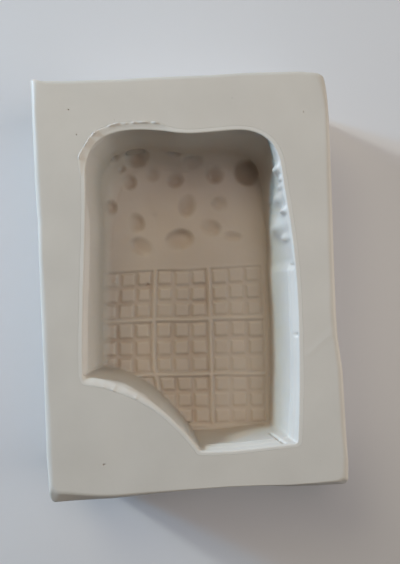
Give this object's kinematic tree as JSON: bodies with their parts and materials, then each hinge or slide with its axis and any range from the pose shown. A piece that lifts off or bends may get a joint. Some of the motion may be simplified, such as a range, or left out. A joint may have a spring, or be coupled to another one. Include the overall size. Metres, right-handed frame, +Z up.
{
  "type": "silicone casting mould",
  "caption": "Open-face silicone block mould for casting resin, soap or wax in the shape of a bitten wafer bar with a dipped, pebbled end.",
  "frame": {"origin": "middle of the block's flat underside", "axes": "+Z up, out of the open cavity; +Y along the block's length, towards the dipped, pebbled end; +X across, away from the bitten corner's side"},
  "size_m": [0.0774, 0.1058, 0.034],
  "materials": {
    "backing_silicone": "matte",
    "coat_silicone": "satin"
  },
  "bodies": {
    "root": {"backing_block": "backing_silicone", "detail_coat": "coat_silicone"}
  },
  "joints": []
}
